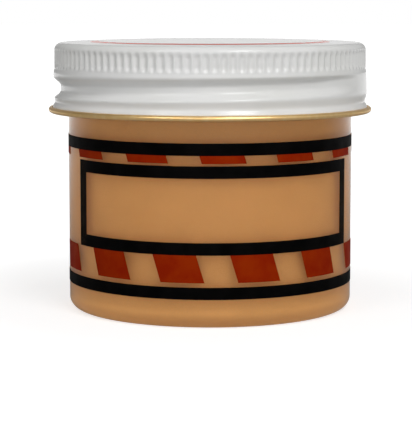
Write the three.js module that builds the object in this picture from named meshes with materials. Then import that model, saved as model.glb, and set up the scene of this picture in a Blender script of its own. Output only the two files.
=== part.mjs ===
// A screw-top glass jar of wood putty: the threaded glass, the putty in it, the clear film label round it,
// the one-piece tinplate lid with its rolled thread, and the faced board liner that seals the rim.
// Millimetres, +Z up, origin at the centre of the base. The front of the label faces -Y.

import * as THREE from "three";
import { mergeVertices } from "three/addons/utils/BufferGeometryUtils.js";

// Glass jar
const BODY_RADIUS = 27.0;
const JAR_HEIGHT = 49.2;
const GLASS_WALL = 2.2;
const GLASS_FLOOR = 1.4;
const HEEL_RADIUS = 2.2;
const INNER_CORNER = 2.0;
const LIP_RADIUS = 0.8;
const BEARING_WIDTH = 5.8;
const PUSH_UP_DEPTH = 0.4;
const PUSH_UP_SLOPE = 1.2;

// Screw thread: a ridge on the glass and a groove rolled into the lid, on one right-hand helix
const THREAD_PITCH = 25.4 / 6;
const THREAD_PLAY = 0.1;
const RIDGE_HEIGHT = 1.65;
const RIDGE_HALF_WIDTH = 1.3;
const RIDGE_DROP = 2.4;
const RIDGE_START = THREE.MathUtils.degToRad(76);
const RIDGE_TURNS = 1.45;
const RIDGE_RUNOUT = 0.06;
const ROLL_DEPTH = 1.4;
const ROLL_ABOVE = 2.3;
const ROLL_BELOW = 2.1;
const ROLL_LAG = 0.27;
const ROLL_TURNS = 0.85;
const ROLL_RUNOUT = 0.1;
const ROLL_BLEND = 0.9;
const THREAD_FLAT = 0.25;

// Tinplate lid
const SHEET = 0.3;
const LID_HEIGHT = 13.2;
const SHOULDER_RADIUS = 1.5;
const KNURL_COUNT = 116;
const KNURL_LENGTH = 3.5;
const KNURL_DEPTH = 0.42;
const KNURL_FADE = 0.5;
const SKIRT_FLARE = 0.75;
const SKIRT_TAPER = 0.2;
const FLARE_DROP = 0.4;
const TUCK_DEPTH = 0.4;
const TUCK_RISE = 1.0;
const TUCK_ABOVE = 1.7;
const TUCK_BELOW = 1.0;
const CURL_RADIUS = 0.55;
const RIM_LAND = 6.4;
const PANEL_STEP = 1.6;
const PANEL_RISE = 0.25;

// Liner, label and putty
const BOARD_THICKNESS = 0.8;
const FACING_THICKNESS = 0.15;
const FILM_THICKNESS = 0.1;
const LABEL_FOOT = 5.35;
const LABEL_HEADROOM = 4.0;
const SEAM_GAP = 1.0;
const HEADSPACE = 5.6;
const PUTTY_CROWN = 0.3;

// Clearances
const LID_RUNNING_GAP = 0.25;
const LINER_FIT = 0.2;
const LABEL_GAP = 0.1;
const FILL_GAP = 0.1;
const REST_GAP = 0.05;

// Facets
const SEGMENTS = 48;
const CORNER_STEPS = 3;
const ROW_SPACING = 0.5;

// Radii and heights that follow from the sizes above
const jarInner = BODY_RADIUS - GLASS_WALL;
const heelInner = BODY_RADIUS - HEEL_RADIUS;
const bearingInner = heelInner - BEARING_WIDTH;
const ridgeRadius = BODY_RADIUS + RIDGE_HEIGHT;
const bandInner = ridgeRadius + LID_RUNNING_GAP;
const bandOuter = bandInner + SHEET + KNURL_DEPTH;
const skirtInner = bandInner + SKIRT_FLARE;
const skirtOuter = skirtInner + SHEET;
const curlCentre = skirtInner + CURL_RADIUS;
const panelFoot = bandOuter - RIM_LAND;
const innerShoulder = SHOULDER_RADIUS - SHEET;
const linerRadius = bandInner - innerShoulder - LINER_FIT;
const facingBottom = JAR_HEIGHT + REST_GAP;
const boardBottom = facingBottom + FACING_THICKNESS + REST_GAP;
const panelUnder = boardBottom + BOARD_THICKNESS + REST_GAP;
const lidTop = panelUnder + SHEET;
const knurlTop = lidTop - SHOULDER_RADIUS;
const knurlBottom = knurlTop - KNURL_LENGTH;
const skirtTop = knurlBottom - FLARE_DROP;
const lidBottom = lidTop - LID_HEIGHT;
const curlHeight = lidBottom + CURL_RADIUS;
const skirtBottom = curlHeight + CURL_RADIUS;
const labelTop = lidBottom - LABEL_HEADROOM;
const fillTop = JAR_HEIGHT - HEADSPACE;

// The two thread forms. Their centre lines run side by side, half of the two facing flanks apart plus the
// play, which is how the lid's groove hangs under the glass ridge when the lid is tight.
const TURN = 2 * Math.PI;
const threadSeat = (RIDGE_HALF_WIDTH + ROLL_ABOVE) / 2 + THREAD_PLAY;
const ridgeTop = JAR_HEIGHT - RIDGE_DROP;
const ridge = {
  top: ridgeTop,
  start: RIDGE_START,
  turns: RIDGE_TURNS,
  runout: RIDGE_RUNOUT,
  above: RIDGE_HALF_WIDTH,
  below: RIDGE_HALF_WIDTH,
};
const roll = {
  top: ridgeTop - ROLL_LAG * THREAD_PITCH - threadSeat,
  start: RIDGE_START - ROLL_LAG * TURN,
  turns: ROLL_TURNS,
  runout: ROLL_RUNOUT,
  above: ROLL_ABOVE,
  below: ROLL_BELOW,
};

// Share of a thread form's full depth, 0 to 1, at an angle round the axis and a height. A form has a flat
// crest, rounded flanks, and fades out at both of its ends.
function threadDepth(form, angle, height) {
  const firstTurn = THREE.MathUtils.euclideanModulo((form.start - angle) / TURN, 1);
  let depth = 0;
  for (let turns = firstTurn; turns < form.turns; turns += 1) {
    const rise = height - form.top + turns * THREAD_PITCH;
    const offset = Math.abs(rise) / (rise > 0 ? form.above : form.below);
    const flank = THREE.MathUtils.smoothstep(1 - offset, 0, 1 - THREAD_FLAT);
    const nearestEnd = Math.min(turns, form.turns - turns);
    depth = Math.max(depth, flank * THREE.MathUtils.smoothstep(nearestEnd, 0, form.runout));
  }
  return depth;
}

// How far the lid's skirt is pressed in. The groove fades out where the skirt meets the curl below it and the
// flare above it, a shallow tuck runs right round the skirt just above the curl, and the whole skirt narrows
// a little towards the flare.
function pressDepth(angle, height) {
  const aboveCurl = THREE.MathUtils.smoothstep(height - skirtBottom, 0, ROLL_BLEND);
  const belowFlare = THREE.MathUtils.smoothstep(skirtTop - height, 0, ROLL_BLEND);
  const groove = ROLL_DEPTH * threadDepth(roll, angle, height) * aboveCurl * belowFlare;
  const fromTuck = height - skirtBottom - TUCK_RISE;
  const tuckReach = Math.abs(fromTuck) / (fromTuck > 0 ? TUCK_ABOVE : TUCK_BELOW);
  const tuck = TUCK_DEPTH * THREE.MathUtils.smoothstep(1 - tuckReach, 0, 1);
  const taper = (SKIRT_TAPER * (height - skirtBottom)) / (skirtTop - skirtBottom);
  return Math.max(groove, tuck) + taper;
}

// A ring of points round the axis. The radius is a length, or a function of the angle and the point's number.
function ring(radius, height, count = SEGMENTS) {
  return Array.from({ length: count }, (_, number) => {
    const angle = (number / count) * TURN;
    const reach = typeof radius === "function" ? radius(angle, number) : radius;
    return new THREE.Vector3(reach * Math.cos(angle), reach * Math.sin(angle), height);
  });
}

// A single point on the axis, which closes a stack of rings.
function pole(height) {
  return [new THREE.Vector3(0, 0, height)];
}

// Rings along a round corner or bead of the profile, between two angles in degrees in the plane of radius and
// height.
function corner(centreRadius, centreHeight, radius, from, to, steps = CORNER_STEPS) {
  return Array.from({ length: steps + 1 }, (_, step) => {
    const angle = THREE.MathUtils.degToRad(THREE.MathUtils.lerp(from, to, step / steps));
    return ring(centreRadius + radius * Math.cos(angle), centreHeight + radius * Math.sin(angle));
  });
}

// Heights of the evenly spaced rows of a threaded band, from low to high.
function rows(low, high) {
  const steps = Math.ceil((high - low) / ROW_SPACING);
  return Array.from({ length: steps + 1 }, (_, step) => THREE.MathUtils.lerp(low, high, step / steps));
}

// A closed surface through a stack of rings that starts and ends at a pole, with the solid on its left. Rings
// of different counts are joined by always stepping along the one that is behind.
function skin(rings) {
  const positions = rings.flat().flatMap((point) => point.toArray());
  const triangles = [];
  let first = 0;
  for (let level = 0; level + 1 < rings.length; level += 1) {
    const lower = rings[level].length;
    const upper = rings[level + 1].length;
    const lowerSteps = lower > 1 ? lower : 0;
    const upperSteps = upper > 1 ? upper : 0;
    const next = first + lower;
    let i = 0;
    let j = 0;
    while (i < lowerSteps || j < upperSteps) {
      const here = first + (i % lower);
      const above = next + (j % upper);
      const stepsLower = j >= upperSteps || (i < lowerSteps && (i + 1) * upperSteps <= (j + 1) * lowerSteps);
      if (stepsLower) {
        i += 1;
        triangles.push(here, first + (i % lower), above);
      } else {
        j += 1;
        triangles.push(here, next + (j % upper), above);
      }
    }
    first = next;
  }
  const geometry = new THREE.BufferGeometry();
  geometry.setAttribute("position", new THREE.Float32BufferAttribute(positions, 3));
  geometry.setIndex(triangles);
  geometry.computeVertexNormals();
  return geometry;
}

// A solid of revolution about +Z from profile points given as radius and height.
function turned(points) {
  const profile = points.map(([radius, height]) => new THREE.Vector2(radius, height));
  const geometry = new THREE.LatheGeometry(profile, SEGMENTS).rotateX(Math.PI / 2);
  geometry.deleteAttribute("normal");
  geometry.deleteAttribute("uv");
  const merged = mergeVertices(geometry);
  merged.computeVertexNormals();
  return merged;
}

function mesh(name, geometry, color, roughness, metalness = 0) {
  const piece = new THREE.Mesh(geometry, new THREE.MeshStandardMaterial({ color, roughness, metalness }));
  piece.name = name;
  return piece;
}

// Clear glass: a push-up under the floor, a flat ring to stand on, a round heel, a straight wall that carries
// the thread ridge, and a flat rim between two rounded lips.
function jarGeometry() {
  const bandBottom = ridge.top - ridge.turns * THREAD_PITCH - ridge.below;
  const bandTop = ridge.top + ridge.above;
  const reach = (angle, height) => BODY_RADIUS + RIDGE_HEIGHT * threadDepth(ridge, angle, height);
  const threaded = (height) => ring((angle) => reach(angle, height), height);
  return skin([
    pole(PUSH_UP_DEPTH),
    ring(bearingInner - PUSH_UP_SLOPE, PUSH_UP_DEPTH),
    ring(bearingInner, 0),
    ...corner(heelInner, HEEL_RADIUS, HEEL_RADIUS, -90, 0),
    ...rows(bandBottom, bandTop).map(threaded),
    ...corner(BODY_RADIUS - LIP_RADIUS, JAR_HEIGHT - LIP_RADIUS, LIP_RADIUS, 0, 90),
    ...corner(jarInner + LIP_RADIUS, JAR_HEIGHT - LIP_RADIUS, LIP_RADIUS, 90, 180),
    ...corner(jarInner - INNER_CORNER, GLASS_FLOOR + INNER_CORNER, INNER_CORNER, 0, -90),
    pole(GLASS_FLOOR),
  ]);
}

// Drawn tinplate, followed from under the panel, down the inside, round the curl and up the outside. The
// knurls are flutes cut in towards the plain inside of the band.
function lidGeometry() {
  const curlInner = CURL_RADIUS - SHEET;
  const heights = rows(skirtBottom, skirtTop);
  const inside = (height) => ring((angle) => skirtInner - pressDepth(angle, height), height);
  const outside = (height) => ring((angle) => skirtOuter - pressDepth(angle, height), height);
  const knurlPoints = 2 * KNURL_COUNT;
  const knurl = (angle, number) => bandOuter - (number % 2) * KNURL_DEPTH;
  return skin([
    pole(panelUnder + PANEL_RISE),
    ring(panelFoot - PANEL_STEP, panelUnder + PANEL_RISE),
    ring(panelFoot, panelUnder),
    ...corner(bandInner - innerShoulder, panelUnder - innerShoulder, innerShoulder, 90, 0),
    ring(bandInner, knurlBottom),
    ...heights.toReversed().map(inside),
    ...corner(curlCentre, curlHeight, CURL_RADIUS, 180, 450, 2 * CORNER_STEPS),
    ...corner(curlCentre, curlHeight, curlInner, 450, 180),
    ...heights.map(outside),
    ring(bandOuter, knurlBottom, knurlPoints),
    ring(knurl, knurlBottom + KNURL_FADE, knurlPoints),
    ring(knurl, knurlTop - KNURL_FADE, knurlPoints),
    ring(bandOuter, knurlTop, knurlPoints),
    ...corner(bandOuter - SHOULDER_RADIUS, knurlTop, SHOULDER_RADIUS, 0, 90).slice(1),
    ring(panelFoot, lidTop),
    ring(panelFoot - PANEL_STEP, lidTop + PANEL_RISE),
    pole(lidTop + PANEL_RISE),
  ]);
}

// The fill follows the inside of the glass and ends in a low crown below the rim.
function puttyGeometry() {
  const side = jarInner - FILL_GAP;
  const bottom = GLASS_FLOOR + FILL_GAP;
  const round = Array.from({ length: CORNER_STEPS + 1 }, (_, step) => {
    const angle = THREE.MathUtils.lerp(-Math.PI / 2, 0, step / CORNER_STEPS);
    const centre = side - INNER_CORNER;
    return [centre + INNER_CORNER * Math.cos(angle), bottom + INNER_CORNER * (1 + Math.sin(angle))];
  });
  const crown = fillTop + PUTTY_CROWN;
  return turned([[0, bottom], ...round, [side, fillTop], [side / 2, crown], [0, crown]]);
}

// Clear film bent round the wall, open along a narrow seam at the back.
function labelGeometry() {
  const inner = BODY_RADIUS + LABEL_GAP;
  const outer = inner + FILM_THICKNESS;
  const halfSeam = SEAM_GAP / (2 * inner);
  const from = Math.PI / 2 + halfSeam;
  const to = Math.PI / 2 + TURN - halfSeam;
  const outline = new THREE.Shape().absarc(0, 0, outer, from, to, false).absarc(0, 0, inner, to, from, true);
  const depth = labelTop - LABEL_FOOT;
  return new THREE.ExtrudeGeometry(outline, { depth, bevelEnabled: false, curveSegments: SEGMENTS });
}

function discGeometry(thickness) {
  return new THREE.CylinderGeometry(linerRadius, linerRadius, thickness, SEGMENTS).rotateX(Math.PI / 2);
}

const jar = mesh("jar", jarGeometry(), 0xdfe6e2, 0.05);
const putty = mesh("putty", puttyGeometry(), 0xb07c4c, 0.7);
const label = mesh("label", labelGeometry(), 0x781f01, 0.35);
label.position.z = LABEL_FOOT;
const facing = mesh("liner_facing", discGeometry(FACING_THICKNESS), 0xf2efe6, 0.4);
facing.position.z = facingBottom + FACING_THICKNESS / 2;
const board = mesh("liner_board", discGeometry(BOARD_THICKNESS), 0xb9b2a4, 0.9);
board.position.z = boardBottom + BOARD_THICKNESS / 2;
const lid = mesh("lid", lidGeometry(), 0xe4e4e2, 0.25, 0.1);

export default new THREE.Group().add(jar, putty, label, facing, board, lid);
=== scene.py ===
import bpy
import numpy as np
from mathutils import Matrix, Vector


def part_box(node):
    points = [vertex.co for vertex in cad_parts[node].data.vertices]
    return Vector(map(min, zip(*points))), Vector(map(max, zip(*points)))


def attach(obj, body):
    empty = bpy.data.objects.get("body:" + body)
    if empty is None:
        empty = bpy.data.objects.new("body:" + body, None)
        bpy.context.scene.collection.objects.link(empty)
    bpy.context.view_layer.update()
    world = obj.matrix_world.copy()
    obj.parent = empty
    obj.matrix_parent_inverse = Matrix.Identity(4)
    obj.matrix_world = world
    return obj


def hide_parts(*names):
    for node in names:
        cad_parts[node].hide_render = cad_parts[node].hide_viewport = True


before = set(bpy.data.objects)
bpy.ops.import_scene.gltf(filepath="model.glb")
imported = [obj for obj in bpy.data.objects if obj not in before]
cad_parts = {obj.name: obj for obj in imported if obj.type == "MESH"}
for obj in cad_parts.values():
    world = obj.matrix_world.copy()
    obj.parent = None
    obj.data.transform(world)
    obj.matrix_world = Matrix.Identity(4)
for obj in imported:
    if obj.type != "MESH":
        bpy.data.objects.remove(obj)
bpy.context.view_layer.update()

# Glass jar
# Pressed clear glass with a straight wall, a round heel, a push-up under its floor and about one and a
# half turns of screw ridge on the neck. All else is filled into it, wrapped round it or screwed onto it.
MM = 0.001
TURN = 2 * np.pi
rim_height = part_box("jar")[1].z
ridge_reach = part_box("jar")[1].x
label_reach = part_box("label")[1].x
label_stand = 0.2 * MM
wall_thickness = 2.2 * MM
wall_radius = label_reach - label_stand
bore_radius = wall_radius - wall_thickness
wall_foot = 6 * MM
bore_top = rim_height - 2 * MM
floor_height = 1.4 * MM
floor_corner = 2.0 * MM
heel_round = 2.2 * MM
bearing_width = 5.8 * MM
bearing_outer = wall_radius - heel_round
bearing_inner = bearing_outer - bearing_width
push_up = 0.4 * MM
push_up_edge = bearing_inner - 2 * MM
slope_top = (bearing_inner - 1.2 * MM, 0.9 * push_up)
slope_foot = (bearing_inner, 0.1 * push_up)
bearing_edge = bearing_inner + 0.5 * MM
lip_round = 0.8 * MM
pole_ring = 2 * MM
thread_pitch = 25.4 * MM / 6
thread_flat = 0.25
glass_ridge = dict(
    top=rim_height - 2.4 * MM,
    start=np.radians(76),
    turns=1.45,
    runout=0.06,
    above=1.3 * MM,
    below=1.3 * MM,
)


def smoothstep(value, low, high):
    """0 below low, 1 above high, and between them three times the square of the share of the way less
    twice its cube."""
    share = np.clip((value - low) / (high - low), 0, 1)
    return share * share * (3 - 2 * share)


def thread_depth(form, angle, height):
    """Share of a thread's full depth at an angle and a height. The thread's centre line falls one pitch a
    turn from its start; the depth is 1 on a flat crest, eases to 0 at the edge of each flank, and fades
    out over the runout at both ends. Where two turns pass, the deeper one counts."""
    first_turn = np.mod((form["start"] - angle) / TURN, 1)
    depth = np.zeros(np.broadcast(angle, height).shape)
    for whole_turns in range(int(np.ceil(form["turns"])) + 1):
        turns = first_turn + whole_turns
        rise = height - form["top"] + turns * thread_pitch
        offset = np.abs(rise) / np.where(rise > 0, form["above"], form["below"])
        flank = smoothstep(1 - offset, 0, 1 - thread_flat)
        nearest_end = np.minimum(turns, form["turns"] - turns)
        depth = np.maximum(depth, flank * smoothstep(nearest_end, 0, form["runout"]))
    return depth


def round_the_axis(columns):
    """Angles of the columns of a turned piece, evenly spaced over one turn."""
    return TURN * np.arange(columns) / columns


def straight(start, end, steps=1, finish=0):
    """Stretch of profile from one (radius, height) to another in even steps: radii, heights, finish."""
    share = np.linspace(0, 1, steps + 1)[:, None]
    radius = start[0] + share * (end[0] - start[0])
    height = start[1] + share * (end[1] - start[1])
    return radius, height, finish


def arc(centre, reach, start, end, steps, finish=0):
    """Round stretch of profile: the centre plus reach times the cosine in radius and the sine in height,
    at angles spaced evenly from start to end in degrees."""
    angle = np.radians(np.linspace(start, end, steps + 1))[:, None]
    return centre[0] + reach * np.cos(angle), centre[1] + reach * np.sin(angle), finish


def new_piece(name, points, faces, finish=None, crease=40):
    """Puts points and faces into a new object at the origin, smooth except where faces meet at more than
    the crease angle in degrees. finish gives the number of each face's material."""
    mesh = bpy.data.meshes.new(name)
    mesh.from_pydata(points, [], faces)
    if finish is not None:
        mesh.polygons.foreach_set("material_index", finish)
    mesh.shade_smooth()
    mesh.set_sharp_from_angle(angle=np.radians(crease))
    mesh.update()
    piece = bpy.data.objects.new(name, mesh)
    bpy.context.scene.collection.objects.link(piece)
    return piece


def turned_piece(name, columns, stretches, crease=40):
    """Closed surface round the axis. Each row is a ring of points at its radius and height, which may
    differ from column to column; quads join each ring to the next, with the solid on the left of the
    profile, and a fan of triangles closes the first and last rings on the axis. A ring that repeats the
    one before it is dropped."""
    one_row = np.empty((1, columns))
    shapes = [np.broadcast(part[0], part[1], one_row).shape for part in stretches]
    radius = np.concatenate([np.broadcast_to(part[0], shape) for part, shape in zip(stretches, shapes)])
    height = np.concatenate([np.broadcast_to(part[1], shape) for part, shape in zip(stretches, shapes)])
    finish = np.concatenate([np.full(shape[0], part[2]) for part, shape in zip(stretches, shapes)])
    step = np.abs(np.diff(radius, axis=0)) + np.abs(np.diff(height, axis=0))
    fresh = np.append(True, step.max(axis=1) > 1e-4 * MM)
    radius, height, finish = radius[fresh], height[fresh], finish[fresh]
    angle = round_the_axis(columns)
    rings = np.stack([radius * np.cos(angle), radius * np.sin(angle), height], axis=-1)
    poles = np.array([[0, 0, height[0].mean()], [0, 0, height[-1].mean()]])
    points = np.concatenate([rings.reshape(-1, 3), poles])
    here = np.arange(radius.size).reshape(radius.shape)
    beside = np.roll(here, -1, axis=1)
    quads = np.stack([here[:-1], beside[:-1], beside[1:], here[1:]], axis=-1).reshape(-1, 4)
    first_pole = np.full(columns, radius.size)
    first_fan = np.stack([first_pole, beside[0], here[0]], axis=-1)
    last_fan = np.stack([first_pole + 1, here[-1], beside[-1]], axis=-1)
    faces = quads.tolist() + first_fan.tolist() + last_fan.tolist()
    ends = np.repeat([finish[0], finish[-1]], columns)
    face_finish = np.concatenate([np.repeat(finish[1:], columns), ends])
    return new_piece(name, points, faces, face_finish.astype(np.int32), crease)


def node(tree, kind, inputs=None, **settings):
    """Adds a shader node, sets its properties, and gives each named input a value or a socket to link."""
    made = tree.nodes.new(kind)
    for name, value in settings.items():
        setattr(made, name, value)
    for name, value in (inputs or {}).items():
        if isinstance(value, bpy.types.NodeSocket):
            tree.links.new(value, made.inputs[name])
        else:
            made.inputs[name].default_value = value
    return made


def new_material(name):
    """An empty node material and the Object coordinates that its patterns are placed on."""
    material = bpy.data.materials.new(name)
    material.use_nodes = True
    material.node_tree.nodes.clear()
    place = node(material.node_tree, "ShaderNodeTexCoord").outputs["Object"]
    return material, material.node_tree, place


def surface(tree, inputs):
    """The material's shader, with its constant values set on its own sockets, joined to the output."""
    shader = node(tree, "ShaderNodeBsdfPrincipled", inputs)
    node(tree, "ShaderNodeOutputMaterial", {"Surface": shader.outputs["BSDF"]})


def noise(tree, place, size, detail=3.0, roughness=0.55):
    """Fractal noise, 0 to 1, whose lumps are about the given size in metres."""
    inputs = {"Vector": place, "Scale": 1 / size, "Detail": detail, "Roughness": roughness}
    return node(tree, "ShaderNodeTexNoise", inputs).outputs["Fac"]


def span(tree, value, low, high, to_low=0.0, to_high=1.0):
    """Carries a value from the span low to high over to another span, held at its ends."""
    inputs = {"Value": value, "From Min": low, "From Max": high, "To Min": to_low, "To Max": to_high}
    return node(tree, "ShaderNodeMapRange", inputs).outputs["Result"]


NOISE_LOW = 0.3
NOISE_HIGH = 0.7


def vary(tree, pattern, low, high):
    """A value that goes from low to high as a noise goes over the range that it mostly keeps to."""
    return span(tree, pattern, NOISE_LOW, NOISE_HIGH, low, high)


def relief(tree, height, depth):
    """Shading normal of a fine surface relief that is depth metres high."""
    inputs = {"Height": height, "Distance": depth, "Strength": 1.0}
    return node(tree, "ShaderNodeBump", inputs).outputs["Normal"]


jar_columns = 240
neck_bottom = glass_ridge["top"] - glass_ridge["turns"] * thread_pitch - glass_ridge["below"]
neck_top = glass_ridge["top"] + glass_ridge["above"]
neck_rows = np.linspace(neck_bottom, neck_top, 60)[:, None]
neck_ridge = thread_depth(glass_ridge, round_the_axis(jar_columns), neck_rows)
neck_radius = wall_radius + (ridge_reach - wall_radius) * neck_ridge
heel_centre = (bearing_outer, heel_round)
corner_centre = (bore_radius - floor_corner, floor_height + floor_corner)
glass_jar = turned_piece(
    "glass_jar",
    jar_columns,
    [
        straight((pole_ring, push_up), (push_up_edge, push_up), 4),
        straight(slope_top, slope_foot, 4),
        straight((bearing_edge, 0), (bearing_outer, 0), 4),
        arc(heel_centre, heel_round, -90, 0, 14),
        straight((wall_radius, wall_foot), (wall_radius, neck_bottom), 6),
        (neck_radius, neck_rows, 0),
        arc((wall_radius - lip_round, rim_height - lip_round), lip_round, 0, 90, 8),
        arc((bore_radius + lip_round, rim_height - lip_round), lip_round, 90, 180, 8),
        straight((bore_radius, bore_top), (bore_radius, wall_foot), 6),
        arc(corner_centre, floor_corner, 0, -90, 10),
        straight((bore_radius - 2 * floor_corner, floor_height), (pole_ring, floor_height), 4),
    ],
)


def clear_glass():
    """Polished clear glass with the faint waves that a pressing mould leaves."""
    material, tree, place = new_material("clear_glass")
    waves = noise(tree, place, 9 * MM, detail=1.0)
    surface(
        tree,
        {
            "Base Color": (0.985, 0.995, 0.99, 1),
            "Roughness": vary(tree, waves, 0.02, 0.05),
            "IOR": 1.5,
            "Transmission Weight": 1.0,
            "Normal": relief(tree, waves, 0.03 * MM),
        },
    )
    return material


glass_jar.data.materials.append(clear_glass())
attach(glass_jar, "filled_jar")
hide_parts("jar")

# Putty
# Tan solvent putty, a stiff paste of wood flour, filled hot so that it wets the glass all round. Its top
# is a low crown with the swirl that the filling nozzle left. It shows through the glass and the film.
wetting = 0.03 * MM
putty_radius = bore_radius + wetting
putty_bottom = floor_height - wetting
crown_height = 0.3 * MM
fill_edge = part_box("putty")[1].z - crown_height
side_top = fill_edge - 1 * MM
swirl_height = 0.35 * MM
swirl_pitch = 8.5 * MM
swirl_middle = 0.25
swirl_margin = 0.12
ripple_share = 0.35
ripple_lobes = 5
ripple_lag = 3
climb_height = 0.25 * MM
climb_start = 0.93
putty_columns = 240


def swirl_top(angle, reach):
    """Height of the filled top at an angle and a share of the radius: a crown that falls with the square
    of the share, plus a spiral wave, a sine of the angle and of the radius over the swirl's pitch, with a
    weaker ripple of a few lobes. Both die out at the middle and at the wall, where the paste climbs the
    glass a little."""
    crown = crown_height * (1 - reach * reach)
    wave = np.sin(angle + TURN * reach * putty_radius / swirl_pitch)
    ripple = ripple_share * np.sin(ripple_lobes * angle - ripple_lag * reach) * reach
    fade = smoothstep(reach, 0, swirl_middle) * smoothstep(1 - reach, 0, swirl_margin)
    climb = climb_height * smoothstep(reach, climb_start, 1)
    return fill_edge + crown + swirl_height * (wave + ripple) * fade + climb


top_reach = np.linspace(1, 0.04, 60)[:, None]
top_height = swirl_top(round_the_axis(putty_columns), top_reach)
putty_corner = (putty_radius - floor_corner, putty_bottom + floor_corner)
wood_putty = turned_piece(
    "wood_putty",
    putty_columns,
    [
        straight((pole_ring, putty_bottom), (putty_radius - floor_corner, putty_bottom), 5),
        arc(putty_corner, floor_corner, -90, 0, 10),
        straight((putty_radius, wall_foot), (putty_radius, side_top), 8),
        (putty_radius * top_reach, top_height, 0),
    ],
)


def combine(tree, kind, first, second=0.0):
    """One or two values put through a Math node, such as their sum, their product or the larger one."""
    return node(tree, "ShaderNodeMath", {0: first, 1: second}, operation=kind).outputs[0]


def mingle(tree, first, second):
    """Share from 0 to 1 that follows the sum of two noises over the range that the sum mostly keeps to."""
    return span(tree, combine(tree, "ADD", first, second), 2 * NOISE_LOW, 2 * NOISE_HIGH)


def ramp(tree, share, *stops):
    """Colour that follows a share from 0 to 1 through stops of (share, colour)."""
    made = node(tree, "ShaderNodeValToRGB", {"Fac": share})
    elements = made.color_ramp.elements
    while len(elements) < len(stops):
        elements.new(0.5)
    for element, (position, colour) in zip(elements, stops):
        element.position = position
        element.color = colour
    return made.outputs["Color"]


def putty_paste():
    """Matt tan paste: a warm base in soft darker and lighter clouds, and a fine meal of wood flour. It is
    written paler than it looks, because the glass that it wets deepens it."""
    material, tree, place = new_material("putty_paste")
    clouds = noise(tree, place, 7 * MM)
    flour = noise(tree, place, 0.35 * MM, detail=2.0)
    dark_tan = (0.76, 0.365, 0.102, 1)
    light_tan = (0.83, 0.405, 0.122, 1)
    surface(
        tree,
        {
            "Base Color": ramp(tree, mingle(tree, clouds, flour), (0.0, dark_tan), (1.0, light_tan)),
            "Roughness": vary(tree, flour, 0.6, 0.85),
            "Specular IOR Level": 0.3,
            "Normal": relief(tree, flour, 0.05 * MM),
        },
    )
    return material


wood_putty.data.materials.append(putty_paste())
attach(wood_putty, "filled_jar")
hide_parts("putty")

# Label film
# Clear printed film, a few hundredths of a millimetre thick, wrapped once round the wall and glued. Its
# two ends meet at the back with a narrow seam between them.
label_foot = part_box("label")[0].z
label_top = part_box("label")[1].z
glue_line = 0.015 * MM
film_thickness = 0.035 * MM
film_inside = wall_radius + glue_line
film_outside = film_inside + film_thickness
seam_gap = 1.0 * MM
film_end = np.pi - seam_gap / (2 * film_outside)
sheet_turn = np.radians(1.5)
sheet_rise = 4 * MM


def even(low, high, step):
    """Evenly spaced values from low to high, no further apart than the step."""
    return np.linspace(low, high, int(np.ceil((high - low) / step)) + 1)


def grid_quads(here):
    """Quads between the neighbouring rows and columns of a grid of point numbers."""
    corners = [here[:-1, :-1], here[:-1, 1:], here[1:, 1:], here[1:, :-1]]
    return np.stack(corners, axis=-1).reshape(-1, 4)


def grid_border(here):
    """Point numbers once round the border of a grid: its first row, last column, last row, first column."""
    return np.concatenate([here[0], here[1:, -1], here[-1, -2::-1], here[-2:0:-1, 0]])


def wrapped_sheet(angle, height, inside, outside):
    """Thin closed sheet bent round the axis. Every grid point lies at its angle from the front, positive
    to the right, and at its height; the grid stands once at the outside radius facing out and once at the
    inside radius facing in, and a strip of quads joins the two along the border. Returns points and
    quads."""
    around = np.stack([np.sin(angle), -np.cos(angle)], axis=-1)
    layers = [np.dstack([radius * around, height]).reshape(-1, 3) for radius in (outside, inside)]
    outer = np.arange(angle.size).reshape(angle.shape)
    border = grid_border(outer)
    ahead = np.roll(border, -1)
    rim = np.stack([border + angle.size, ahead + angle.size, ahead, border], axis=-1)
    faces = np.concatenate([grid_quads(outer), grid_quads(outer + angle.size)[:, ::-1], rim])
    return np.concatenate(layers), faces


def band(left, right, low, high, inside, outside):
    """Upright sheet between two angles and two heights."""
    angle, height = np.meshgrid(even(left, right, sheet_turn), even(low, high, sheet_rise))
    return wrapped_sheet(angle, height, inside, outside)


def joined_piece(name, sheets):
    """One object made of several closed sheets. Faces that lie wholly on the inside have finish 1."""
    starts = np.cumsum([0] + [len(points) for points, _ in sheets[:-1]])
    points = np.concatenate([points for points, _ in sheets])
    faces = np.concatenate([quads + start for (_, quads), start in zip(sheets, starts)])
    reach = np.hypot(points[:, 0], points[:, 1])
    inside = (reach < 0.5 * (reach.min() + reach.max()))[faces].all(axis=1)
    return new_piece(name, points, faces.tolist(), inside.astype(np.int32))


film_sheet = band(-film_end, film_end, label_foot, label_top, film_inside, film_outside)
label_film = joined_piece("label_film", [film_sheet])


def ink(red, green, blue):
    """A colour given as it shows on a screen, 0 to 255, as the linear colour that a shader takes."""
    shown = np.array([red, green, blue]) / 255
    linear = np.where(shown <= 0.04045, shown / 12.92, ((shown + 0.055) / 1.055) ** 2.4)
    return (*linear.tolist(), 1.0)


def clear_film():
    """Clear satin film: nearly see-through, with a little haze that gathers in faint glue clouds."""
    material, tree, place = new_material("clear_film")
    clouds = noise(tree, place, 5 * MM)
    surface(
        tree,
        {
            "Base Color": ink(198, 140, 86),
            "Roughness": vary(tree, clouds, 0.3, 0.4),
            "Specular IOR Level": 0.15,
            "Alpha": vary(tree, clouds, 0.01, 0.02),
        },
    )
    return material


film_finish = clear_film()
label_film.data.materials.append(film_finish)
label_film.data.materials.append(film_finish)
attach(label_film, "filled_jar")
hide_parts("label")

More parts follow.
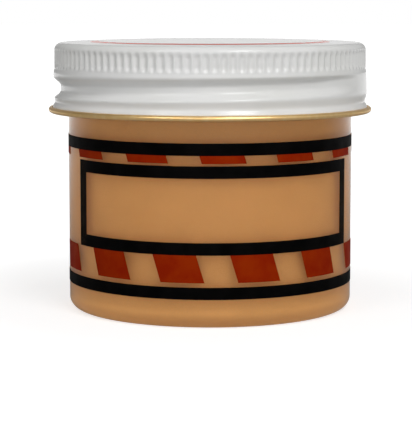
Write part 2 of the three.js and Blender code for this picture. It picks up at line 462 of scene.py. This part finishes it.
# Black print
# Opaque black ink on the outside of the film: a band along each edge all the way round, and on the front
# a frame about an empty window. Seen from inside the jar, all ink shows its pale backing.
ink_inside = film_outside + 0.005 * MM
ink_outside = ink_inside + 0.015 * MM
edge_band = 2.22 * MM
frame_low = 13.36 * MM
frame_high = 29.34 * MM
frame_left = np.radians(-62.7)
frame_right = np.radians(67.75)
frame_rail = 2.24 * MM
frame_stile = np.radians(5.25)


def framed_window(left, right, low, high, stile, rail, inside, outside):
    """Closed frame bent round the axis: a band whose grid leaves out the cells between its stiles and
    rails. The rows and columns lie on the four edges of the window, and each border has its own strip of
    quads."""
    columns = np.concatenate([[left], even(left + stile, right - stile, sheet_turn), [right]])
    rows = np.concatenate([[low], even(low + rail, high - rail, sheet_rise), [high]])
    angle, height = np.meshgrid(columns, rows)
    points, faces = wrapped_sheet(angle, height, inside, outside)
    window = np.arange(angle.size).reshape(angle.shape)[1:-1, 1:-1]
    one_layer = faces.max(axis=1) - faces.min(axis=1) < angle.size
    first_corner = grid_quads(window).min(axis=1)
    hidden = one_layer & np.isin(faces.min(axis=1) % angle.size, first_corner)
    border = grid_border(window)
    ahead = np.roll(border, -1)
    rim = np.stack([border, ahead, ahead + angle.size, border + angle.size], axis=-1)
    return points, np.concatenate([faces[~hidden], rim])


window_place = (frame_left, frame_right, frame_low, frame_high)
window_bars = (frame_stile, frame_rail)
black_print = joined_piece(
    "black_print",
    [
        band(-film_end, film_end, label_foot, label_foot + edge_band, ink_inside, ink_outside),
        band(-film_end, film_end, label_top - edge_band, label_top, ink_inside, ink_outside),
        framed_window(*window_place, *window_bars, ink_inside, ink_outside),
    ],
)


def printed_ink(name, thin, full):
    """Dry printing ink, laid thinner and fuller in soft clouds, with the satin of the film under it."""
    material, tree, place = new_material(name)
    cover = noise(tree, place, 3.5 * MM, detail=5.0)
    surface(
        tree,
        {
            "Base Color": ramp(tree, cover, (0.35, thin), (0.62, full)),
            "Roughness": vary(tree, cover, 0.45, 0.6),
            "Specular IOR Level": 0.02,
            "Normal": relief(tree, cover, 0.01 * MM),
        },
    )
    return material


ink_backing = printed_ink("ink_backing", ink(222, 208, 190), ink(240, 230, 214))
black_print.data.materials.append(printed_ink("black_ink", ink(9, 8, 8), ink(3, 3, 3)))
black_print.data.materials.append(ink_backing)
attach(black_print, "filled_jar")

# Brown stripes
# Red-brown ink in slanting bars, twelve round the jar, in the strips between the black bands and the
# frame. The bars of both strips lie on the same slanting lines, a little clear of the black below them.
stripe_count = 12
stripe_width = np.radians(17.1)
stripe_slant = np.radians(11) / (16.9 * MM)
slant_height = 30.3 * MM
first_stripe = np.radians(5)
least_stripe = np.radians(0.2)
lower_gap = 0.8 * MM
upper_gap = 0.42 * MM


def stripe_bars(low, high):
    """Slanting bars across the strip from low to high. A bar's middle starts at its turn round the jar
    and moves right by the slant for each metre below the height where it is measured; its edges stop at
    the ends of the film, where the seam may cut one bar in two."""
    height = even(low, high, 1 * MM)[:, None]
    share = np.linspace(0, 1, 14)
    bars = []
    for number in range(-stripe_count // 2 - 1, stripe_count // 2 + 2):
        middle = first_stripe + number * TURN / stripe_count + stripe_slant * (slant_height - height)
        left = np.clip(middle - 0.5 * stripe_width, -film_end, film_end)
        right = np.clip(middle + 0.5 * stripe_width, -film_end, film_end)
        if (right - left).min() > least_stripe:
            angle = left + share * (right - left)
            across = np.broadcast_to(height, angle.shape)
            bars.append(wrapped_sheet(angle, across, ink_inside, ink_outside))
    return bars


lower_bars = stripe_bars(label_foot + edge_band + lower_gap, frame_low)
upper_bars = stripe_bars(frame_high + upper_gap, label_top - edge_band)
brown_stripes = joined_piece("brown_stripes", lower_bars + upper_bars)
brown_stripes.data.materials.append(printed_ink("brown_ink", ink(147, 42, 2), ink(137, 29, 1)))
brown_stripes.data.materials.append(ink_backing)
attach(brown_stripes, "filled_jar")

# Liner facing
# Coated paper on the side of the liner that meets the glass, glued to the board behind it. The rim of the
# jar has pressed a ring into it.
face_low, face_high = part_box("liner_facing")
liner_radius = face_high.x
liner_columns = 180
liner_middle = 0.08
press_depth = 0.04 * MM
press_ease = 0.5 * MM


def pressed_disc(name, low, high, press):
    """Round disc with eased edges. Its underside rises by the press depth where the glass rim meets it,
    with a smooth step on each side of the rim."""
    ease = 0.25 * (high - low)
    edge = liner_radius - ease
    under = np.linspace(liner_middle, 1, 40)[:, None] * edge
    on_rim = smoothstep(under, bore_radius, bore_radius + press_ease)
    off_rim = smoothstep(under, wall_radius - press_ease, wall_radius)
    return turned_piece(
        name,
        liner_columns,
        [
            (under, low + press * (on_rim - off_rim), 0),
            arc((edge, low + ease), ease, -90, 0, 4),
            arc((edge, high - ease), ease, 0, 90, 4),
            straight((0.9 * edge, high), (liner_middle * edge, high), 6),
        ],
    )


liner_face = pressed_disc("liner_face", face_low.z, face_high.z, press_depth)


def coated_paper():
    """Off-white coated paper: fine crossed fibres under a thin satin coat."""
    material, tree, place = new_material("coated_paper")
    fibres = noise(tree, place, 0.5 * MM, detail=5.0)
    clouds = noise(tree, place, 6 * MM)
    stops = ((0.0, ink(226, 221, 208)), (1.0, ink(243, 240, 231)))
    surface(
        tree,
        {
            "Base Color": ramp(tree, mingle(tree, fibres, clouds), *stops),
            "Roughness": vary(tree, fibres, 0.35, 0.5),
            "Normal": relief(tree, fibres, 0.02 * MM),
        },
    )
    return material


liner_face.data.materials.append(coated_paper())
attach(liner_face, "liner")
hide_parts("liner_facing")

# Liner board
# Grey pulp board behind the facing, punched to the inside of the lid and held there by its snug fit. The
# rim's mark comes through to it at half its depth.
board_low, board_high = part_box("liner_board")
liner_disc = pressed_disc("liner_disc", board_low.z, board_high.z, 0.5 * press_depth)


def pulp_board():
    """Grey-buff board of recycled pulp, flecked with darker and paler fibres."""
    material, tree, place = new_material("pulp_board")
    pulp = noise(tree, place, 0.8 * MM, detail=6.0, roughness=0.65)
    stops = ((0.25, ink(150, 140, 124)), (0.5, ink(183, 174, 158)), (0.75, ink(205, 198, 184)))
    surface(
        tree,
        {
            "Base Color": ramp(tree, pulp, *stops),
            "Roughness": vary(tree, pulp, 0.8, 0.95),
            "Specular IOR Level": 0.2,
            "Normal": relief(tree, pulp, 0.06 * MM),
        },
    )
    return material


liner_disc.data.materials.append(pulp_board())
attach(liner_disc, "liner")
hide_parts("liner_board")

# Lid
# One piece of drawn tinplate, white enamel outside and gold lacquer inside. Pressed flutes give grip, a
# rolled groove is its thread, and the foot is curled out and up, so the gold inside shows as a bead.
lid_low, lid_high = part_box("lid")
sheet = 0.3 * MM
running_gap = 0.25 * MM
panel_rise = 0.25 * MM
lid_top = lid_high.z - panel_rise
panel_under = lid_top - sheet
band_inner = ridge_reach + running_gap
flute_depth = 0.42 * MM
flute_count = 116
flute_power = 0.7
flute_blend = 0.04 * MM
band_outer = band_inner + sheet + flute_depth
shoulder_round = 1.5 * MM
knurl_height = 3.5 * MM
knurl_top = lid_top - shoulder_round
knurl_bottom = knurl_top - knurl_height
flute_foot = knurl_bottom + 1.3 * MM
flute_foot_round = 1.2 * MM
runout_share = 0.75
runout_low = knurl_top - 0.7 * MM
runout_high = knurl_top + 0.5 * MM
flare_drop = 0.4 * MM
skirt_top = knurl_bottom - flare_drop
curl_round = 0.55 * MM
curl_centre = (lid_high.x - curl_round, lid_low.z + curl_round)
skirt_bottom = curl_centre[1] + curl_round
skirt_inner = curl_centre[0] - curl_round
skirt_outer = skirt_inner + sheet
panel_foot = band_outer - 6.4 * MM
panel_edge = panel_foot - 1.6 * MM
panel_middle = 14 * MM
step_ease = 0.3 * MM
step_lift = 0.03 * MM
roll_depth = 1.4 * MM
roll_blend = 0.9 * MM
tuck_depth = 0.4 * MM
tuck_height = skirt_bottom + 1.0 * MM
tuck_above = 1.7 * MM
tuck_below = 1.0 * MM
skirt_taper = 0.2 * MM
roll_lag = 0.27
thread_play = 0.1 * MM
rolled_groove = dict(
    start=glass_ridge["start"] - roll_lag * TURN,
    turns=0.85,
    runout=0.1,
    above=2.3 * MM,
    below=2.1 * MM,
)
thread_seat = (glass_ridge["below"] + rolled_groove["above"]) / 2 + thread_play
rolled_groove["top"] = glass_ridge["top"] - roll_lag * thread_pitch - thread_seat
WHITE, GOLD = 0, 1
lid_columns = 8 * flute_count
lid_angle = round_the_axis(lid_columns)


def pressed_in(height):
    """How far the skirt is pressed in at every column: the rolled groove, faded out where the skirt meets
    the curl and the flare, or a shallow tuck right round above the curl where that is deeper, plus a taper
    that grows evenly towards the flare."""
    above_curl = smoothstep(height - skirt_bottom, 0, roll_blend)
    below_flare = smoothstep(skirt_top - height, 0, roll_blend)
    groove = roll_depth * thread_depth(rolled_groove, lid_angle, height) * above_curl * below_flare
    from_tuck = height - tuck_height
    tuck_reach = np.abs(from_tuck) / np.where(from_tuck > 0, tuck_above, tuck_below)
    tuck = tuck_depth * smoothstep(1 - tuck_reach, 0, 1)
    taper = skirt_taper * (height - skirt_bottom) / (skirt_top - skirt_bottom)
    return np.maximum(groove, tuck) + taper


def fluted(drop, height):
    """Radius of the knurled band at every column: the smaller of the plain band, which lies drop inside
    its widest, and of the flutes, rounded where the two cross. A flute is deepest on its middle line and
    comes out to a narrow ridge on each side as a power of a raised cosine; its lower end is round because
    the distance past it counts together with the distance from the middle line, and its upper end runs
    out in the shoulder."""
    across = np.abs(2 * np.mod(lid_angle * flute_count / TURN, 1) - 1)
    past_foot = np.clip((flute_foot - height) / flute_foot_round, 0, None)
    distance = np.clip(np.sqrt(across**2 + past_foot**2), 0, 1)
    run_out = 1 - runout_share * smoothstep(height, runout_low, runout_high)
    flute = flute_depth * run_out * (0.5 + 0.5 * np.cos(np.pi * distance)) ** flute_power
    return band_outer - flute_blend * np.logaddexp(drop / flute_blend, flute / flute_blend)


skirt_rows = np.linspace(skirt_bottom, skirt_top, 26)[:, None]
inner_rows = np.linspace(skirt_top, skirt_bottom, 9)[:, None]
flute_rows = np.linspace(knurl_bottom, knurl_top, 18)[:, None]
shoulder_angles = np.radians(np.linspace(4, 60, 9))[:, None]
shoulder_rows = knurl_top + shoulder_round * np.sin(shoulder_angles)
shoulder_drop = shoulder_round * (1 - np.cos(shoulder_angles))
shoulder_centre = (band_outer - shoulder_round, knurl_top)
inner_round = shoulder_round - sheet
inner_centre = (band_inner - inner_round, panel_under - inner_round)
panel_low = panel_under + panel_rise
lip_centre = (curl_centre[0], skirt_bottom - sheet / 2)
tinplate_lid = turned_piece(
    "tinplate_lid",
    lid_columns,
    [
        straight((pole_ring, panel_low), (panel_edge, panel_low), 1, GOLD),
        straight((panel_foot, panel_under), (inner_centre[0], panel_under), 1, GOLD),
        arc(inner_centre, inner_round, 90, 0, 3, GOLD),
        straight((band_inner, knurl_bottom), (skirt_inner, skirt_top), 1, GOLD),
        (skirt_inner - pressed_in(inner_rows), inner_rows, GOLD),
        arc(curl_centre, curl_round, 180, 450, 10, GOLD),
        arc(lip_centre, sheet / 2, 90, 270, 4, GOLD),
        arc(curl_centre, curl_round - sheet, 450, 180, 5, WHITE),
        (skirt_outer - pressed_in(skirt_rows), skirt_rows, WHITE),
        (fluted(0, flute_rows), flute_rows, WHITE),
        (fluted(shoulder_drop, shoulder_rows), shoulder_rows, WHITE),
        arc(shoulder_centre, shoulder_round, 64, 90, 4, WHITE),
        straight((panel_foot + step_ease, lid_top), (panel_foot, lid_top + step_lift), 1, WHITE),
        straight((panel_edge, lid_high.z - step_lift), (panel_edge - step_ease, lid_high.z), 1, WHITE),
        straight((panel_middle, lid_high.z), (pole_ring, lid_high.z), 1, WHITE),
    ],
    crease=60,
)
ring_radius = 22.05 * MM
ring_width = 1.5 * MM
ring_sharpness = 0.94


def white_enamel():
    """Glossy white stoving enamel with a faint orange peel, a thin red printed ring on the panel's step,
    and a slight yellowing in the clouds of the coat."""
    material, tree, place = new_material("white_enamel")
    peel = noise(tree, place, 1.2 * MM, detail=2.0)
    clouds = noise(tree, place, 12 * MM)
    white = ramp(tree, clouds, (NOISE_LOW, ink(228, 228, 225)), (NOISE_HIGH, ink(235, 235, 234)))
    axes = node(tree, "ShaderNodeSeparateXYZ", {"Vector": place}).outputs
    flat = node(tree, "ShaderNodeCombineXYZ", {"X": axes["X"], "Y": axes["Y"]}).outputs["Vector"]
    reach = node(tree, "ShaderNodeVectorMath", {0: flat}, operation="LENGTH").outputs["Value"]
    distance = combine(tree, "ABSOLUTE", combine(tree, "SUBTRACT", reach, ring_radius))
    half_width = 0.5 * ring_width
    on_ring = span(tree, distance, ring_sharpness * half_width, half_width, 1.0, 0.0)
    on_top = span(tree, axes["Z"], lid_top - 0.1 * MM, lid_top - 0.05 * MM)
    printed = combine(tree, "MULTIPLY", on_ring, on_top)
    colours = {"Fac": printed, "Color1": white, "Color2": ink(230, 88, 62)}
    surface(
        tree,
        {
            "Base Color": node(tree, "ShaderNodeMixRGB", colours).outputs["Color"],
            "Roughness": vary(tree, peel, 0.16, 0.24),
            "Normal": relief(tree, peel, 0.006 * MM),
        },
    )
    return material


def gold_lacquer():
    """Clear gold lacquer over bright tin: metallic, with the fine speckle of the rolled plate."""
    material, tree, place = new_material("gold_lacquer")
    speckle = noise(tree, place, 1.4 * MM, detail=3.0)
    stops = ((0.3, ink(250, 207, 138)), (0.55, ink(253, 214, 150)), (0.75, ink(255, 222, 163)))
    surface(
        tree,
        {
            "Base Color": ramp(tree, speckle, *stops),
            "Metallic": 1.0,
            "Roughness": vary(tree, speckle, 0.32, 0.4),
            "Normal": relief(tree, speckle, 0.001 * MM),
        },
    )
    return material


tinplate_lid.data.materials.append(white_enamel())
tinplate_lid.data.materials.append(gold_lacquer())
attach(tinplate_lid, "screw_lid")
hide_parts("lid")

# Studio floor
# Plain pale floor. To the camera and through glass it is as white as the backdrop it runs into, apart
# from the jar's soft shadow; the light it throws back, and most reflections, show its own pale grey.
floor_half = 3.0
floor_drop = 0.02 * MM
floor_corners = np.array([[-1, -1], [1, -1], [1, 1], [-1, 1]], float)
floor_points = np.column_stack([floor_half * floor_corners, np.full(4, -floor_drop)])
studio_floor = new_piece("studio_floor", floor_points, [[0, 1, 2, 3]])
white_near_jar = 0.68
shadow_edge = (0.04, 0.13)
mirrored_from = (0.1, 0.6)


def backdrop_share(tree, around, behind):
    """1 for rays from the camera; for rays through glass the share that meets the backdrop round the jar,
    for reflected rays the share that meets it behind the jar; 0 for rays that only carry light."""
    path = node(tree, "ShaderNodeLightPath").outputs
    through = combine(tree, "MULTIPLY", path["Is Transmission Ray"], around)
    mirrored = combine(tree, "MULTIPLY", path["Is Glossy Ray"], behind)
    return combine(tree, "MAXIMUM", path["Is Camera Ray"], combine(tree, "MAXIMUM", through, mirrored))


def pale_floor():
    """Pale matt paper: near the jar a part of its brightness is lit, so that it takes a shadow, and further
    off it is the backdrop's white."""
    material, tree, place = new_material("pale_floor")
    grain = noise(tree, place, 0.5 * MM)
    greys = ((NOISE_LOW, (0.48, 0.48, 0.48, 1)), (NOISE_HIGH, (0.52, 0.52, 0.52, 1)))
    depth = node(tree, "ShaderNodeSeparateXYZ", {"Vector": place}).outputs["Y"]
    share = backdrop_share(tree, 1.0, span(tree, depth, *mirrored_from))
    reach = node(tree, "ShaderNodeVectorMath", {0: place}, operation="LENGTH").outputs["Value"]
    white = span(tree, reach, *shadow_edge, white_near_jar, 1.0)
    surface(
        tree,
        {
            "Base Color": ramp(tree, grain, *greys),
            "Roughness": 0.9,
            "Specular IOR Level": 0.0,
            "Emission Color": (1, 1, 1, 1),
            "Emission Strength": combine(tree, "MULTIPLY", share, white),
        },
    )
    return material


studio_floor.data.materials.append(pale_floor())

# Studio light
# A white backdrop behind the jar, in a plain grey room that is brighter low down, in front and to the
# right. Two softboxes make the streaks on the enamel, and a low front lamp fills the shade under the lid.
room_horizon = 0.58
room_overhead = 0.36
room_left = 0.66
room_right = 1.24
room_front = 1.3
room_back = 0.2
room_least = 0.62
backdrop_edge = (0.975, 0.99)
backdrop_top = (0.15, 0.4)
world = bpy.data.worlds.new("studio")
world.use_nodes = True
world.node_tree.nodes.clear()
sky = world.node_tree
direction = node(sky, "ShaderNodeTexCoord").outputs["Generated"]
aim = node(sky, "ShaderNodeSeparateXYZ", {"Vector": direction}).outputs
upright = span(sky, aim["Z"], 0.0, 1.0, room_horizon, room_overhead)
sideways = span(sky, aim["X"], -1.0, 1.0, room_left, room_right)
endways = span(sky, aim["Y"], -1.0, 1.0, room_front, room_back)
endways = combine(sky, "MAXIMUM", endways, room_least)
level = combine(sky, "MULTIPLY", combine(sky, "MULTIPLY", upright, sideways), endways)
behind_jar = span(sky, aim["Y"], *backdrop_edge)
round_jar = span(sky, aim["Z"], *backdrop_top, 1.0, 0.0)
room = node(sky, "ShaderNodeBackground", {"Color": (1, 1, 1, 1), "Strength": level})
backdrop = node(sky, "ShaderNodeBackground", {"Color": (1, 1, 1, 1), "Strength": 1.0})
shares = {0: backdrop_share(sky, round_jar, behind_jar), 1: room.outputs[0], 2: backdrop.outputs[0]}
seen = node(sky, "ShaderNodeMixShader", shares)
node(sky, "ShaderNodeOutputWorld", {"Surface": seen.outputs[0]})
bpy.context.scene.world = world


def softbox(name, azimuth, elevation, distance, size, power):
    """Square area lamp, aimed at the lid from an azimuth off the camera's side, positive to the right."""
    lamp = bpy.data.lights.new(name, "AREA")
    lamp.shape = "SQUARE"
    lamp.size = size
    lamp.energy = power
    holder = bpy.data.objects.new(name, lamp)
    across, up = np.radians(azimuth), np.radians(elevation)
    away = distance * np.cos(up)
    height = lid_top + distance * np.sin(up)
    holder.location = (away * np.sin(across), -away * np.cos(across), height)
    holder.rotation_euler = (np.pi / 2 - up, 0, across)
    bpy.context.scene.collection.objects.link(holder)


softbox("left_softbox", azimuth=-35, elevation=38, distance=0.8, size=0.3, power=1.0)
softbox("right_softbox", azimuth=25, elevation=42, distance=0.8, size=0.3, power=2.2)
softbox("front_fill", azimuth=4, elevation=7, distance=1.0, size=0.5, power=0.6)

# Camera
# A long lens, a third of a metre off and a little higher than the lid, held level and tipped down
# towards the label.
camera_data = bpy.data.cameras.new("camera")
camera_data.lens = 153.34
camera_data.sensor_width = 36.0
camera_data.clip_start = 10 * MM
camera = bpy.data.objects.new("camera", camera_data)
camera_distance = 348.7 * MM
camera_height = 59.9 * MM
camera_side = -0.76 * MM
camera_pitch = np.radians(6.92)
camera.location = (camera_side, -camera_distance, camera_height)
camera.rotation_euler = (np.pi / 2 - camera_pitch, 0, 0)
bpy.context.scene.collection.objects.link(camera)
bpy.context.scene.camera = camera
bpy.context.scene.view_settings.view_transform = "Standard"
